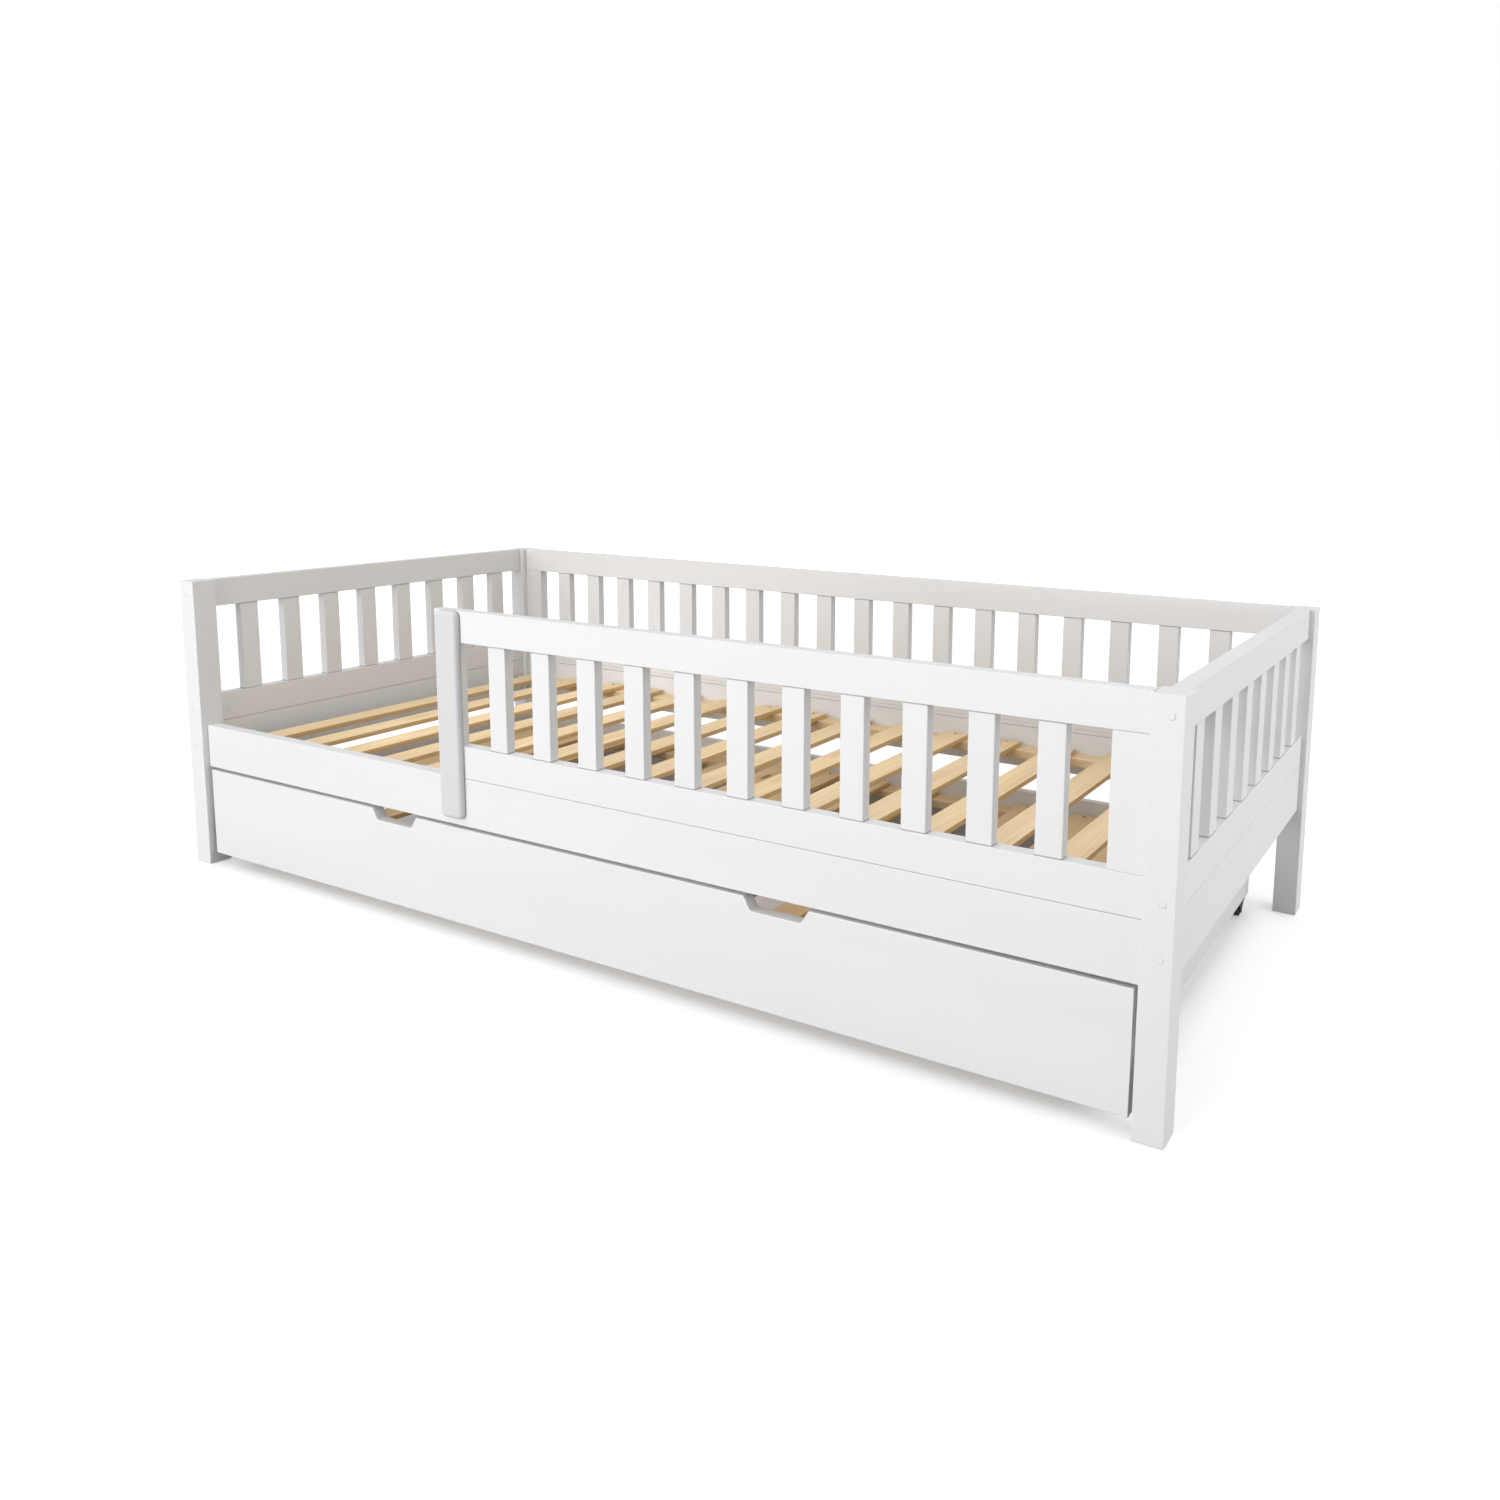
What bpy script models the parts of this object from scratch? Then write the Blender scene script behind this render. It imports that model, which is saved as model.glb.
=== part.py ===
"""Child's single bed with a slatted fall guard and a guest bed on castors.

Metres, +Z up. The origin is on the floor at the middle of the bed, the open front
faces -Y, and the guard stands at the +X end of the front. Left is -X.
"""
import math

import bmesh
import bpy
from mathutils import Vector

# ---- driving dimensions -------------------------------------------------------------
LENGTH = 2.080          # over the posts, along X
DEPTH = 0.970           # over the posts, along Y
HEIGHT = 0.602          # posts and top rails
POST_X = 0.044
POST_Y = 0.049
FIT = 0.0003            # gap left between pieces that touch

BOARD_T = 0.024         # rails and boards, centred in the posts' width
SLAT_T = 0.020          # upright slats, centred in the rails
SLAT_W = 0.040
STILE_W = 0.052
TENON = 0.015           # how far a slat runs into a rail

BOARD_BOTTOM = 0.2105   # underside of the side rails above the floor
SIDE_BOARD_H = 0.089
MID_RAIL_H = 0.0585
TOP_RAIL_H = 0.057

LONG_SLATS = 18         # upright slats in the back panel
GUARD_SLATS = 11        # the guard has the last ones of the same row
END_SLATS = 8           # upright slats in each end panel
GUARD_LEFT = -0.300     # left edge of the guard, along X

GUARD_POST_X = (-0.289, -0.236)
GUARD_POST_FOOT = 0.224
GUARD_POST_CORNER = 0.011
GUARD_POST_ROUND = 0.005

LEDGER_W = 0.045
LEDGER_H = 0.018
LEDGER_TOP = 0.2575
BASE_SLATS = 16
BASE_SLAT_W = 0.054
BASE_SLAT_T = 0.010
BASE_SLAT_LENGTH = 0.878
BASE_SLAT_MARGIN = 0.058   # from the end boards to the first and last slat

TRUNDLE_FRONT_LENGTH = 1.976
TRUNDLE_FRONT_Z = (0.024, 0.205)
TRUNDLE_FRONT_INSET = 0.011   # behind the posts' front face
TRUNDLE_LENGTH = 1.900
TRUNDLE_BACK_INSET = 0.057    # in front of the posts' back face
TRUNDLE_SIDE_Z = (0.030, 0.168)
TRUNDLE_SIDE_T = 0.018
TRUNDLE_LEDGER_TOP = 0.130
TRUNDLE_SLATS = 15
TRUNDLE_SLAT_MARGINS = (0.052, 0.038)   # from the left and right end boards

HANDLE_X = 0.428        # each hand hole's middle, either side of the bed's middle
HANDLE_TOP_W = 0.120
HANDLE_BOTTOM_W = 0.092
HANDLE_DEPTH = 0.022
HANDLE_ROUND = 0.008

WHEEL_R = 0.0125
WHEEL_W = 0.0105
AXLE_R = 0.002
AXLE_CLEARANCE = 0.0003
WHEEL_INSET = 0.050     # wheel axle to the end of the trundle's end board
FORK_L = 0.046
FORK_PLATE_T = 0.0025
FORK_CHEEK_T = 0.002

# ---- levels and planes worked out from them -------------------------------------------
HALF_L = LENGTH / 2
HALF_D = DEPTH / 2
SIDE_TOP = BOARD_BOTTOM + SIDE_BOARD_H
MID_BOTTOM = SIDE_TOP + FIT
MID_TOP = MID_BOTTOM + MID_RAIL_H
TOP_BOTTOM = HEIGHT - TOP_RAIL_H
POST_IN_X = HALF_L - POST_X            # inner faces of the posts
POST_IN_Y = HALF_D - POST_Y
END_MID_X = HALF_L - POST_X / 2        # middle planes of the boards
LONG_MID_Y = HALF_D - POST_Y / 2
END_IN_X = END_MID_X - BOARD_T / 2     # inner faces of the boards
LONG_IN_Y = LONG_MID_Y - BOARD_T / 2


def clear_scene():
    for old in list(bpy.data.objects):
        bpy.data.objects.remove(old)


def material(name, color, roughness, metallic=0.0):
    mat = bpy.data.materials.new(name)
    mat.use_nodes = True
    shader = mat.node_tree.nodes["Principled BSDF"]
    shader.inputs["Base Color"].default_value = (*color, 1.0)
    shader.inputs["Roughness"].default_value = roughness
    shader.inputs["Metallic"].default_value = metallic
    return mat


def add_object(name, mesh, mat, location=(0, 0, 0), parent=None):
    obj = bpy.data.objects.new(name, mesh)
    mesh.materials.append(mat)
    obj.location = location
    obj.parent = parent
    bpy.context.scene.collection.objects.link(obj)
    return obj


def box_mesh(name, size):
    """A box centred on its own origin."""
    mesh = bpy.data.meshes.new(name)
    bm = bmesh.new()
    bmesh.ops.create_cube(bm, size=1.0)
    bmesh.ops.scale(bm, vec=Vector(size), verts=bm.verts)
    bm.to_mesh(mesh)
    bm.free()
    return mesh


def prism_mesh(name, outline, depth):
    """An outline of (x, z) points, anticlockwise seen from -Y, filled and extruded along Y."""
    mesh = bpy.data.meshes.new(name)
    bm = bmesh.new()
    front = bm.faces.new([bm.verts.new((x, -depth / 2, z)) for x, z in outline])
    grown = bmesh.ops.extrude_face_region(bm, geom=[front])
    moved = [item for item in grown["geom"] if isinstance(item, bmesh.types.BMVert)]
    bmesh.ops.translate(bm, vec=(0, depth, 0), verts=moved)
    bmesh.ops.recalc_face_normals(bm, faces=bm.faces)
    bm.to_mesh(mesh)
    bm.free()
    return mesh


def ease_edges(obj, width=0.0015, segments=1):
    bevel = obj.modifiers.new("eased_edges", "BEVEL")
    bevel.width = width
    bevel.segments = segments
    bevel.limit_method = "ANGLE"
    return obj


def span(low, high):
    """Size and middle of a box from two opposite corners."""
    low, high = Vector(low), Vector(high)
    return high - low, (low + high) / 2


def board(name, low, high, mat, parent=None, ease=0.0015):
    size, middle = span(low, high)
    obj = add_object(name, box_mesh(name, size), mat, middle, parent)
    return ease_edges(obj, ease)


def guide(obj):
    """Marks a piece that only shapes another one."""
    obj.hide_render = True
    obj.display_type = "WIRE"
    return obj


def combine(obj, pieces, operation):
    """Joins guide pieces to obj, or cuts them out of it, with one exact Boolean."""
    group = bpy.data.collections.new(obj.name + "_guides")
    bpy.context.scene.collection.children.link(group)
    for piece in pieces:
        group.objects.link(guide(piece))
    boolean = obj.modifiers.new("glued" if operation == "UNION" else "cut", "BOOLEAN")
    boolean.operation = operation
    boolean.solver = "EXACT"
    boolean.operand_type = "COLLECTION"
    boolean.collection = group


def glued_panel(name, boxes, mat):
    """Rails, stiles and slats glued into one panel; the first box is its top rail."""
    size, middle = span(*boxes[0])
    panel = add_object(name, box_mesh(name, size), mat, middle)
    members = []
    for number, (low, high) in enumerate(boxes[1:]):
        size, middle = span(low, high)
        member_name = f"{name}_member_{number}"
        members.append(add_object(member_name, box_mesh(member_name, size), mat, middle))
    combine(panel, members, "UNION")
    return panel


def row(start, stop, count, width):
    """Left edges of evenly spaced pieces with the same gap between them and at both ends."""
    gap = (stop - start - count * width) / (count + 1)
    return [start + gap + number * (width + gap) for number in range(count)]


# ---- the fixed bed ----------------------------------------------------------------------
def add_posts(paint):
    for end, side_x in (("left", -1), ("right", 1)):
        for front, side_y in (("front", -1), ("back", 1)):
            middle = (side_x * (HALF_L - POST_X / 2), side_y * (HALF_D - POST_Y / 2), HEIGHT / 2)
            name = f"post_{front}_{end}"
            post = add_object(name, box_mesh(name, (POST_X, POST_Y, HEIGHT)), paint, middle)
            ease_edges(post, 0.002, 2)


def long_box(x_low, x_high, z_low, z_high, thickness, side):
    """A box in the front (side -1) or back (side +1) plane of the bed."""
    middle = side * LONG_MID_Y
    return (x_low, middle - thickness / 2, z_low), (x_high, middle + thickness / 2, z_high)


def end_box(y_low, y_high, z_low, z_high, thickness, side):
    """A box in the left (side -1) or right (side +1) end plane of the bed."""
    middle = side * END_MID_X
    return (middle - thickness / 2, y_low, z_low), (middle + thickness / 2, y_high, z_high)


def add_long_boards(paint):
    reach = POST_IN_X - FIT
    board("side_rail_front", *long_box(-reach, reach, BOARD_BOTTOM, SIDE_TOP, BOARD_T, -1), paint)
    board("back_board", *long_box(-reach, reach, BOARD_BOTTOM, SIDE_TOP, BOARD_T, 1), paint)


def long_panel(name, left, slats, side, paint):
    """A slatted panel from left to the right-hand post, with a stile at each end."""
    right = POST_IN_X - FIT
    boxes = [
        long_box(left, right, TOP_BOTTOM, HEIGHT, BOARD_T, side),
        long_box(left, right, MID_BOTTOM, MID_TOP, BOARD_T, side),
        long_box(left, left + STILE_W, MID_TOP - TENON, TOP_BOTTOM + TENON, BOARD_T - 2 * FIT, side),
        long_box(right - STILE_W, right, MID_TOP - TENON, TOP_BOTTOM + TENON, BOARD_T - 2 * FIT, side),
    ]
    for x in slats:
        boxes.append(long_box(x, x + SLAT_W, MID_TOP - TENON, TOP_BOTTOM + TENON, SLAT_T, side))
    return glued_panel(name, boxes, paint)


def add_long_panels(paint):
    inner = POST_IN_X - STILE_W
    slats = row(-inner, inner, LONG_SLATS, SLAT_W)
    long_panel("back_panel", -(POST_IN_X - FIT), slats, 1, paint)
    long_panel("guard_panel", GUARD_LEFT, slats[-GUARD_SLATS:], -1, paint)


def add_ends(paint):
    reach = POST_IN_Y - FIT
    for end, side in (("left", -1), ("right", 1)):
        board(f"end_board_{end}", *end_box(-reach, reach, BOARD_BOTTOM, SIDE_TOP, BOARD_T, side), paint)
        boxes = [
            end_box(-reach, reach, TOP_BOTTOM, HEIGHT, BOARD_T, side),
            end_box(-reach, reach, MID_BOTTOM, MID_TOP, BOARD_T, side),
        ]
        for y in row(-POST_IN_Y, POST_IN_Y, END_SLATS, SLAT_W):
            boxes.append(end_box(y, y + SLAT_W, MID_TOP - TENON, TOP_BOTTOM + TENON, SLAT_T, side))
        glued_panel(f"end_panel_{end}", boxes, paint)


def rounded_rectangle(half_w, half_h, radius, steps=4):
    """Points of a rounded rectangle about the origin, anticlockwise."""
    points = []
    for corner, (side_x, side_z) in enumerate(((1, 1), (-1, 1), (-1, -1), (1, -1))):
        for step in range(steps + 1):
            angle = math.radians(90 * corner + 90 * step / steps)
            x = side_x * (half_w - radius) + radius * math.cos(angle)
            z = side_z * (half_h - radius) + radius * math.sin(angle)
            points.append((x, z))
    return points


def add_guard_post(paint):
    """A cover strip with round corners and a rounded front edge over the guard's free end."""
    back = -(LONG_MID_Y + BOARD_T / 2) - FIT
    half_w = (GUARD_POST_X[1] - GUARD_POST_X[0]) / 2
    half_h = (HEIGHT - GUARD_POST_FOOT) / 2
    sections = [(back, 0.0)]
    for step in range(4):
        angle = math.radians(90 * step / 3)
        depth = -HALF_D + GUARD_POST_ROUND * (1 - math.sin(angle))
        sections.append((depth, GUARD_POST_ROUND * (1 - math.cos(angle))))
    mesh = bpy.data.meshes.new("guard_post")
    bm = bmesh.new()
    rings = []
    for depth, inset in sections:
        outline = rounded_rectangle(half_w - inset, half_h - inset, GUARD_POST_CORNER - inset)
        rings.append([bm.verts.new((x, depth, z)) for x, z in outline])
    count = len(rings[0])
    for first, second in zip(rings, rings[1:]):
        for number in range(count):
            after = (number + 1) % count
            bm.faces.new((first[number], first[after], second[after], second[number]))
    bm.faces.new(rings[0])
    bm.faces.new(rings[-1])
    bmesh.ops.recalc_face_normals(bm, faces=bm.faces)
    bm.to_mesh(mesh)
    bm.free()
    middle = (sum(GUARD_POST_X) / 2, 0, (HEIGHT + GUARD_POST_FOOT) / 2)
    add_object("guard_post", mesh, paint, middle)


def add_ledgers(pine):
    reach = POST_IN_X - FIT
    for front, side in (("front", -1), ("back", 1)):
        outer = side * (LONG_IN_Y - FIT)
        inner = outer - side * LEDGER_W
        low = (-reach, min(outer, inner), LEDGER_TOP - LEDGER_H)
        high = (reach, max(outer, inner), LEDGER_TOP)
        board(f"ledger_{front}", low, high, pine)


def add_base_slats(pine):
    bottom = LEDGER_TOP + FIT
    first = -END_IN_X + BASE_SLAT_MARGIN
    pitch = (2 * END_IN_X - 2 * BASE_SLAT_MARGIN - BASE_SLAT_W) / (BASE_SLATS - 1)
    half = BASE_SLAT_LENGTH / 2
    for number in range(BASE_SLATS):
        x = first + number * pitch
        high = (x + BASE_SLAT_W, half, bottom + BASE_SLAT_T)
        board(f"base_slat_{number + 1:02d}", (x, -half, bottom), high, pine)


# ---- the guest bed ------------------------------------------------------------------------
def hand_hole(name, x, mat, slope_steps=4):
    """A cutter open at the top: slanting ends and rounded bottom corners."""
    top = TRUNDLE_FRONT_Z[1]
    bottom = top - HANDLE_DEPTH
    slant = (HANDLE_TOP_W - HANDLE_BOTTOM_W) / 2 / HANDLE_DEPTH
    over = 0.010
    turn = math.pi / 2 - math.atan(slant)
    setback = HANDLE_ROUND * math.tan(turn / 2)
    centre_x = HANDLE_BOTTOM_W / 2 - setback
    right = [(HANDLE_TOP_W / 2 + slant * over, top + over)]
    for step in range(slope_steps + 1):
        angle = turn * (1 - step / slope_steps)
        right.append((centre_x + HANDLE_ROUND * math.sin(angle),
                      bottom + HANDLE_ROUND * (1 - math.cos(angle))))
    outline = [(x - px, z) for px, z in right] + [(x + px, z) for px, z in reversed(right)]
    return add_object(name, prism_mesh(name, outline, 4 * BOARD_T), mat, (0, -HALF_D, 0))


def add_trundle_boxwork(paint, trundle):
    front_y = -HALF_D + TRUNDLE_FRONT_INSET
    back_y = HALF_D - TRUNDLE_BACK_INSET
    inside_front = front_y + BOARD_T
    half_front = TRUNDLE_FRONT_LENGTH / 2
    half = TRUNDLE_LENGTH / 2
    low_z, high_z = TRUNDLE_SIDE_Z
    front = board("trundle_front", (-half_front, front_y, TRUNDLE_FRONT_Z[0]),
                  (half_front, inside_front, TRUNDLE_FRONT_Z[1]), paint, trundle)
    cutters = [hand_hole("hand_hole_left", -HANDLE_X, paint), hand_hole("hand_hole_right", HANDLE_X, paint)]
    combine(front, cutters, "DIFFERENCE")
    for end, side in (("left", -1), ("right", 1)):
        edges = sorted((side * half, side * (half - TRUNDLE_SIDE_T)))
        board(f"trundle_end_{end}", (edges[0], inside_front + FIT, low_z),
              (edges[1], back_y, high_z), paint, trundle)
    reach = half - TRUNDLE_SIDE_T - FIT
    board("trundle_back", (-reach, back_y - TRUNDLE_SIDE_T, low_z), (reach, back_y, high_z), paint, trundle)
    return inside_front + FIT, back_y - TRUNDLE_SIDE_T - FIT, reach


def add_trundle_base(pine, trundle, front_y, back_y, reach):
    low_z = TRUNDLE_LEDGER_TOP - LEDGER_H
    board("trundle_ledger_front", (-reach, front_y, low_z),
          (reach, front_y + LEDGER_W, TRUNDLE_LEDGER_TOP), pine, trundle)
    board("trundle_ledger_back", (-reach, back_y - LEDGER_W, low_z),
          (reach, back_y, TRUNDLE_LEDGER_TOP), pine, trundle)
    bottom = TRUNDLE_LEDGER_TOP + FIT
    end_gap = 0.006
    first = -reach + TRUNDLE_SLAT_MARGINS[0]
    pitch = (2 * reach - sum(TRUNDLE_SLAT_MARGINS) - BASE_SLAT_W) / (TRUNDLE_SLATS - 1)
    for number in range(TRUNDLE_SLATS):
        x = first + number * pitch
        board(f"trundle_slat_{number + 1:02d}", (x, front_y + end_gap, bottom),
              (x + BASE_SLAT_W, back_y - end_gap, bottom + BASE_SLAT_T), pine, trundle)


def turned_mesh(name, profile, segments=28):
    """A closed (x, radius) profile turned about X."""
    mesh = bpy.data.meshes.new(name)
    bm = bmesh.new()
    rings = []
    for segment in range(segments):
        angle = 2 * math.pi * segment / segments
        rings.append([bm.verts.new((x, r * math.cos(angle), r * math.sin(angle))) for x, r in profile])
    for number, ring in enumerate(rings):
        other = rings[(number + 1) % segments]
        for point in range(len(profile)):
            after = (point + 1) % len(profile)
            bm.faces.new((ring[point], ring[after], other[after], other[point]))
    bmesh.ops.recalc_face_normals(bm, faces=bm.faces)
    bm.to_mesh(mesh)
    bm.free()
    return mesh


def wheel_profile():
    half = WHEEL_W / 2
    hub = AXLE_R + AXLE_CLEARANCE
    shoulder = 0.002
    rim_recess = 0.0012
    return [
        (-half, hub), (-half, hub + 0.002), (-half + rim_recess, hub + 0.003),
        (-half + rim_recess, WHEEL_R - 0.0045), (-half, WHEEL_R - 0.0035), (-half, WHEEL_R - shoulder),
        (-half + 0.0006, WHEEL_R - 0.0006), (-half + shoulder, WHEEL_R),
        (half - shoulder, WHEEL_R), (half - 0.0006, WHEEL_R - 0.0006),
        (half, WHEEL_R - shoulder), (half, WHEEL_R - 0.0035), (half - rim_recess, WHEEL_R - 0.0045),
        (half - rim_recess, hub + 0.003), (half, hub + 0.002), (half, hub),
    ]


def add_castor(name, x, y, plastic, wheel_plastic, trundle):
    """A fixed castor: a housing with its riveted axle, and a wheel that turns on it."""
    top = TRUNDLE_SIDE_Z[0] - FIT
    plate_low = top - FORK_PLATE_T
    cheek_x = WHEEL_W / 2 + 0.0008
    housing_name = f"castor_housing_{name}"
    size = (TRUNDLE_SIDE_T, FORK_L, FORK_PLATE_T)
    middle = (x, y, top - FORK_PLATE_T / 2)
    housing = add_object(housing_name, box_mesh(housing_name, size), plastic, middle, trundle)
    members = []
    for side in (-1, 1):
        # A cheek seen from the side: wide at the plate, round under the axle.
        nose = 0.006
        outline = [(0.019, plate_low + 0.001 - WHEEL_R), (-0.019, plate_low + 0.001 - WHEEL_R)]
        for step in range(7):
            angle = math.pi * (1 + step / 6)
            outline.append((nose * math.cos(angle), nose * math.sin(angle)))
        cheek_name = f"{housing_name}_cheek_{side}"
        cheek = add_object(cheek_name, prism_mesh(cheek_name, outline, FORK_CHEEK_T), plastic)
        cheek.rotation_euler = (0, 0, math.radians(90))
        cheek.location = (x + side * (cheek_x + FORK_CHEEK_T / 2), y, WHEEL_R)
        members.append(cheek)
    half = cheek_x + FORK_CHEEK_T + 0.0006
    axle_name = f"{housing_name}_axle"
    axle_mesh = bpy.data.meshes.new(axle_name)
    bm = bmesh.new()
    bmesh.ops.create_cone(bm, cap_ends=True, segments=20, radius1=AXLE_R, radius2=AXLE_R, depth=2 * half)
    bm.to_mesh(axle_mesh)
    bm.free()
    axle = add_object(axle_name, axle_mesh, plastic, (x, y, WHEEL_R))
    axle.rotation_euler = (0, math.radians(90), 0)
    members.append(axle)
    combine(housing, members, "UNION")
    wheel_name = f"castor_wheel_{name}"
    wheel = add_object(wheel_name, turned_mesh(wheel_name, wheel_profile()), wheel_plastic,
                       (x, y, WHEEL_R), trundle)
    wheel.data.shade_smooth()
    wheel.data.set_sharp_from_angle(angle=math.radians(35))


def add_castors(plastic, wheel_plastic, trundle, front_y):
    back_y = HALF_D - TRUNDLE_BACK_INSET
    for end, side in (("left", -1), ("right", 1)):
        x = side * (TRUNDLE_LENGTH / 2 - TRUNDLE_SIDE_T / 2)
        add_castor(f"front_{end}", x, front_y + WHEEL_INSET, plastic, wheel_plastic, trundle)
        add_castor(f"back_{end}", x, back_y - WHEEL_INSET, plastic, wheel_plastic, trundle)


def build():
    clear_scene()
    paint = material("white_paint", (0.88, 0.88, 0.88), 0.45)
    pine = material("pine", (0.80, 0.62, 0.38), 0.60)
    plastic = material("castor_plastic", (0.02, 0.02, 0.02), 0.50)
    wheel_plastic = material("wheel_plastic", (0.03, 0.03, 0.03), 0.60)
    add_posts(paint)
    add_long_boards(paint)
    add_long_panels(paint)
    add_ends(paint)
    add_guard_post(paint)
    add_ledgers(pine)
    add_base_slats(pine)
    trundle = bpy.data.objects.new("trundle", None)
    bpy.context.scene.collection.objects.link(trundle)
    front_y, back_y, reach = add_trundle_boxwork(paint, trundle)
    add_trundle_base(pine, trundle, front_y, back_y, reach)
    add_castors(plastic, wheel_plastic, trundle, front_y)


build()
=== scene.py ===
"""Looks of the child's slatted bed with its guest bed: timber pieces, fittings, camera and studio."""
import math
import random

import bmesh
import bpy
from mathutils import Euler, Matrix, Vector


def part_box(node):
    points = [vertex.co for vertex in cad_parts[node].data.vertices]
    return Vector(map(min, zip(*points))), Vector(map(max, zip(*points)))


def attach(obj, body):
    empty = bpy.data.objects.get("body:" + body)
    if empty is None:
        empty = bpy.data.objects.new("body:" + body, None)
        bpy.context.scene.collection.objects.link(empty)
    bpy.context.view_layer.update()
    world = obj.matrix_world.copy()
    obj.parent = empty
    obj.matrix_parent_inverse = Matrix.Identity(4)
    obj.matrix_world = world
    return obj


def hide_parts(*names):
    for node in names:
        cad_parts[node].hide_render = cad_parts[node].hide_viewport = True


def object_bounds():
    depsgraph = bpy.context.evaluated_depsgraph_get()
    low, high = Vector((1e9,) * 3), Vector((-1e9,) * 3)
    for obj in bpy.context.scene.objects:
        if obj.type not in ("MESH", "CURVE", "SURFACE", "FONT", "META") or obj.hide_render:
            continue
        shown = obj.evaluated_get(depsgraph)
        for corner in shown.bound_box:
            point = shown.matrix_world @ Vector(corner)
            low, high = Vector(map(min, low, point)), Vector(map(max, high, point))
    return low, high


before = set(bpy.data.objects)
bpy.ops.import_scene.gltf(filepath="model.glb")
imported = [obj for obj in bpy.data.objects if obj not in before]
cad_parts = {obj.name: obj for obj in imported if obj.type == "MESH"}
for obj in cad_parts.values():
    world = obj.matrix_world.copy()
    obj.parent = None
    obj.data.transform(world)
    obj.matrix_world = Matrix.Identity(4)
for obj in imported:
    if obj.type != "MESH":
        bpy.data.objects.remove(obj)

CAD_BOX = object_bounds()
RNG = random.Random(20)
GRAIN = "grain"          # per-vertex place in the piece's own timber: along, across, through
CORNER = "corner"        # per-vertex, 1 in a joint: where a slat enters its rail, or boards meet; it places painted contact shade

# ---- sizes the frame's boxes don't give, in metres ----------------------------------
TOP_RAIL_H = 0.057
MID_RAIL_H = 0.0585
STILE_W = 0.052
RAIL_LIP = 0.0085        # narrow strip at the bottom of the back's middle rail
SLAT_W = 0.040
SLAT_T = 0.020
SLAT_IN = 0.003          # how far a slat is let into a rail
CORNER_REACH = 0.0024    # how far the painted contact shade at a slat's end spreads
LONG_SLATS = 18
GUARD_SLATS = 11
END_SLATS = 8
RAIL_EASE = 0.0012
SLAT_EASE = 0.0018
POST_EASE = 0.0016
PINE_EASE = 0.0012
DRAWER_EASE = 0.0015
SEAM_EASE = 0.0009       # stiles, which are glued between the rails
TOUCHING = 1e-5          # nearer than this to a board's side counts as on it

STRIP_CORNER = 0.011     # the cover strip's corners, seen from the front
STRIP_ROUNDING = 0.0085  # its front edges
STRIP_ROUND_STEPS = 5

HANDLE_X = 0.428
HANDLE_TOP_W = 0.120
HANDLE_BOTTOM_W = 0.092
HANDLE_DEPTH = 0.022
HANDLE_ROUND = 0.008
HANDLE_ROUND_STEPS = 8

CAP_LEVELS = (0.256, 0.330, 0.574)     # bolts from the posts into the end boards and rails
CAP_R = 0.0045
CAP_INSET = 0.017        # bolt to the post's outer face
CAP_PROUD = 0.0006       # height of a bolt cap over the wood, before its dome
CAP_BURIED = 0.0004
CAP_SEAM_W = 0.00035     # the fine seam round a cap, coloured dark grey as painted shadow
CAP_SEAM_RISE = 0.00003
CAP_SHADOW_BANDS = 3       # bands of a cap's profile that are this seam, in the painted-shadow grey
NUT_LEVELS = (0.256, 0.324)
NUT_R = 0.0042
NUT_INSET = 0.018        # barrel nut to the end of its board, at the post
FLUSH_PROUD = 0.0003     # height of the covers that lie nearly flush
SPARE_LEVELS = (0.3865, 0.4985)
SPARE_R = 0.0040
SPARE_INSET = 0.020      # from the post's front face
SCREW_R = 0.0034
SCREW_INSET = 0.014      # screw to the end of a slat

# ---- tones ---------------------------------------------------------------------------
SIDE_SHADE_TINT = (0.80, 0.70, 0.56)         # painted shade on a slat's narrow x-facing sides, over their saw-cut tone against the planed faces
PAINTED_KNOT = (0.70, 0.67, 0.60)      # a knot that shows through the lacquer
JOINT_PAINTED_SHADOW = (0.13, 0.13, 0.135)      # painted contact shade along the line where two boards meet, over the joint's own thin dark line
JOINT_SHADOW_STRENGTH = 0.9
PITH_WANDER = (0.0, 0.030, 0.030)
RINGS_PER_M = (240.0, 300.0)
PLASTIC_GRAIN = 900.0                  # scale of the fine texture of plastic, rubber and steel


# ---- nodes -----------------------------------------------------------------------------
def node(tree, kind, settings=None, **inputs):
    """A shader node. Inputs are sockets to link from, or plain values."""
    made = tree.nodes.new(kind)
    for key, value in (settings or {}).items():
        setattr(made, key, value)
    for key, value in inputs.items():
        put(tree, made.inputs[key.replace("_", " ")], value)
    return made


def put(tree, socket, value):
    if isinstance(value, bpy.types.NodeSocket):
        tree.links.new(value, socket)
    else:
        socket.default_value = value


def calc(tree, operation, *values):
    made = tree.nodes.new("ShaderNodeMath")
    made.operation = operation
    for socket, value in zip(made.inputs, values):
        put(tree, socket, value)
    return made.outputs[0]


def vector(tree, operation, *values):
    made = tree.nodes.new("ShaderNodeVectorMath")
    made.operation = operation
    for socket, value in zip(made.inputs, values):
        put(tree, socket, value)
    return made.outputs["Value" if operation in ("LENGTH", "DISTANCE", "DOT_PRODUCT") else 0]


def noise(tree, place, scale, detail=2.0, roughness=0.5, output=0):
    made = node(tree, "ShaderNodeTexNoise", None,
                Vector=place, Scale=scale, Detail=detail, Roughness=roughness)
    return made.outputs[output]


def remap(tree, value, low, high, to_low, to_high, smooth=False):
    made = tree.nodes.new("ShaderNodeMapRange")
    made.interpolation_type = "SMOOTHSTEP" if smooth else "LINEAR"
    for socket, number in zip(made.inputs, (value, low, high, to_low, to_high)):
        put(tree, socket, number)
    return made.outputs[0]


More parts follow.
